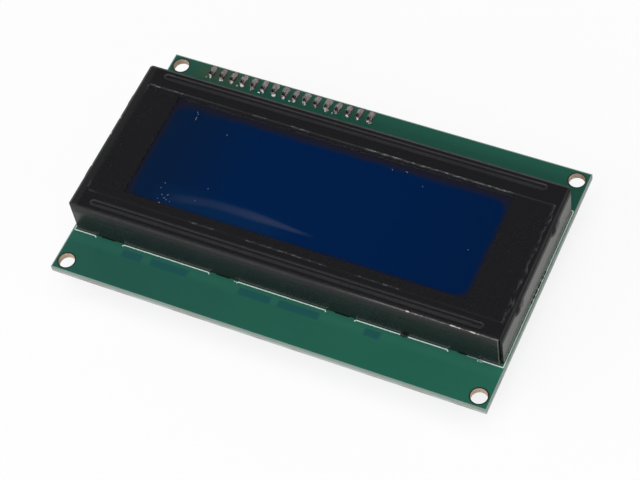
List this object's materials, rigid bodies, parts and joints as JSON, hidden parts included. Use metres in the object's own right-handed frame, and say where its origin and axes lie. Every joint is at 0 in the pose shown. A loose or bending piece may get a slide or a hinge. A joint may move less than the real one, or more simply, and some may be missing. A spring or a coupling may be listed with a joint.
{
  "type": "character LCD module",
  "caption": "Blue character display in a black pressed-steel bezel on a green circuit board with corner mounting holes and a single-row pin header at one long edge.",
  "frame": {"origin": "centre of the rectangle of mounting holes, on the board's front face", "axes": "+X along the board's long side, +Y towards the edge with the pin header, +Z out of the display"},
  "size_m": [0.098, 0.06, 0.0198],
  "materials": {
    "solder_mask": "green solder mask over glass laminate",
    "black_paint": "semi-gloss black",
    "clear_film": "clear film",
    "polarizer": "deep blue",
    "display_glass": "polished",
    "seal_resin": "matt",
    "white_sheet": "matt white",
    "clear_acrylic": "clear",
    "white_moulding": "white",
    "white_laminate": "white",
    "led_package": "white case with yellow lens",
    "tinned_wire": "tinned",
    "striped_rubber": "grey with dark stripes",
    "black_moulding": "black",
    "epoxy": "black, domed",
    "chip_resistor": "black with tinned ends",
    "chip_capacitor": "tan with tinned ends",
    "pin_metal": "thin gold plating",
    "solder": "dull solder"
  },
  "bodies": {
    "root": {"circuit_board": "solder_mask", "bezel": "black_paint", "protective_film": "clear_film", "front_polarizer": "polarizer", "front_glass": "display_glass", "glass_seal": "seal_resin", "rear_glass": "display_glass", "rear_polarizer": "polarizer", "diffuser_sheet": "white_sheet", "light_guide": "clear_acrylic", "reflector_sheet": "white_sheet", "backlight_frame": "white_moulding", "backlight_board": "white_laminate", "backlight_led_1": "led_package", "backlight_led_2": "led_package", "backlight_lead_1": "tinned_wire", "backlight_lead_2": "tinned_wire", "elastomer_front": "striped_rubber", "elastomer_back": "striped_rubber", "header_strip": "black_moulding", "driver_chip_1": "epoxy", "driver_chip_2": "epoxy", "driver_chip_3": "epoxy", "resistor_1": "chip_resistor", "resistor_2": "chip_resistor", "resistor_3": "chip_resistor", "capacitor_1": "chip_capacitor", "capacitor_2": "chip_capacitor", "header_pin_01": "pin_metal", "header_pin_02": "pin_metal", "header_pin_03": "pin_metal", "header_pin_04": "pin_metal", "header_pin_05": "pin_metal", "header_pin_06": "pin_metal", "header_pin_07": "pin_metal", "header_pin_08": "pin_metal", "header_pin_09": "pin_metal", "header_pin_10": "pin_metal", "header_pin_11": "pin_metal", "header_pin_12": "pin_metal", "header_pin_13": "pin_metal", "header_pin_14": "pin_metal", "header_pin_15": "pin_metal", "header_pin_16": "pin_metal", "solder_joint_01": "solder", "solder_joint_02": "solder", "solder_joint_03": "solder", "solder_joint_04": "solder", "solder_joint_05": "solder", "solder_joint_06": "solder", "solder_joint_07": "solder", "solder_joint_08": "solder", "solder_joint_09": "solder", "solder_joint_10": "solder", "solder_joint_11": "solder", "solder_joint_12": "solder", "solder_joint_13": "solder", "solder_joint_14": "solder", "solder_joint_15": "solder", "solder_joint_16": "solder"}
  },
  "joints": []
}
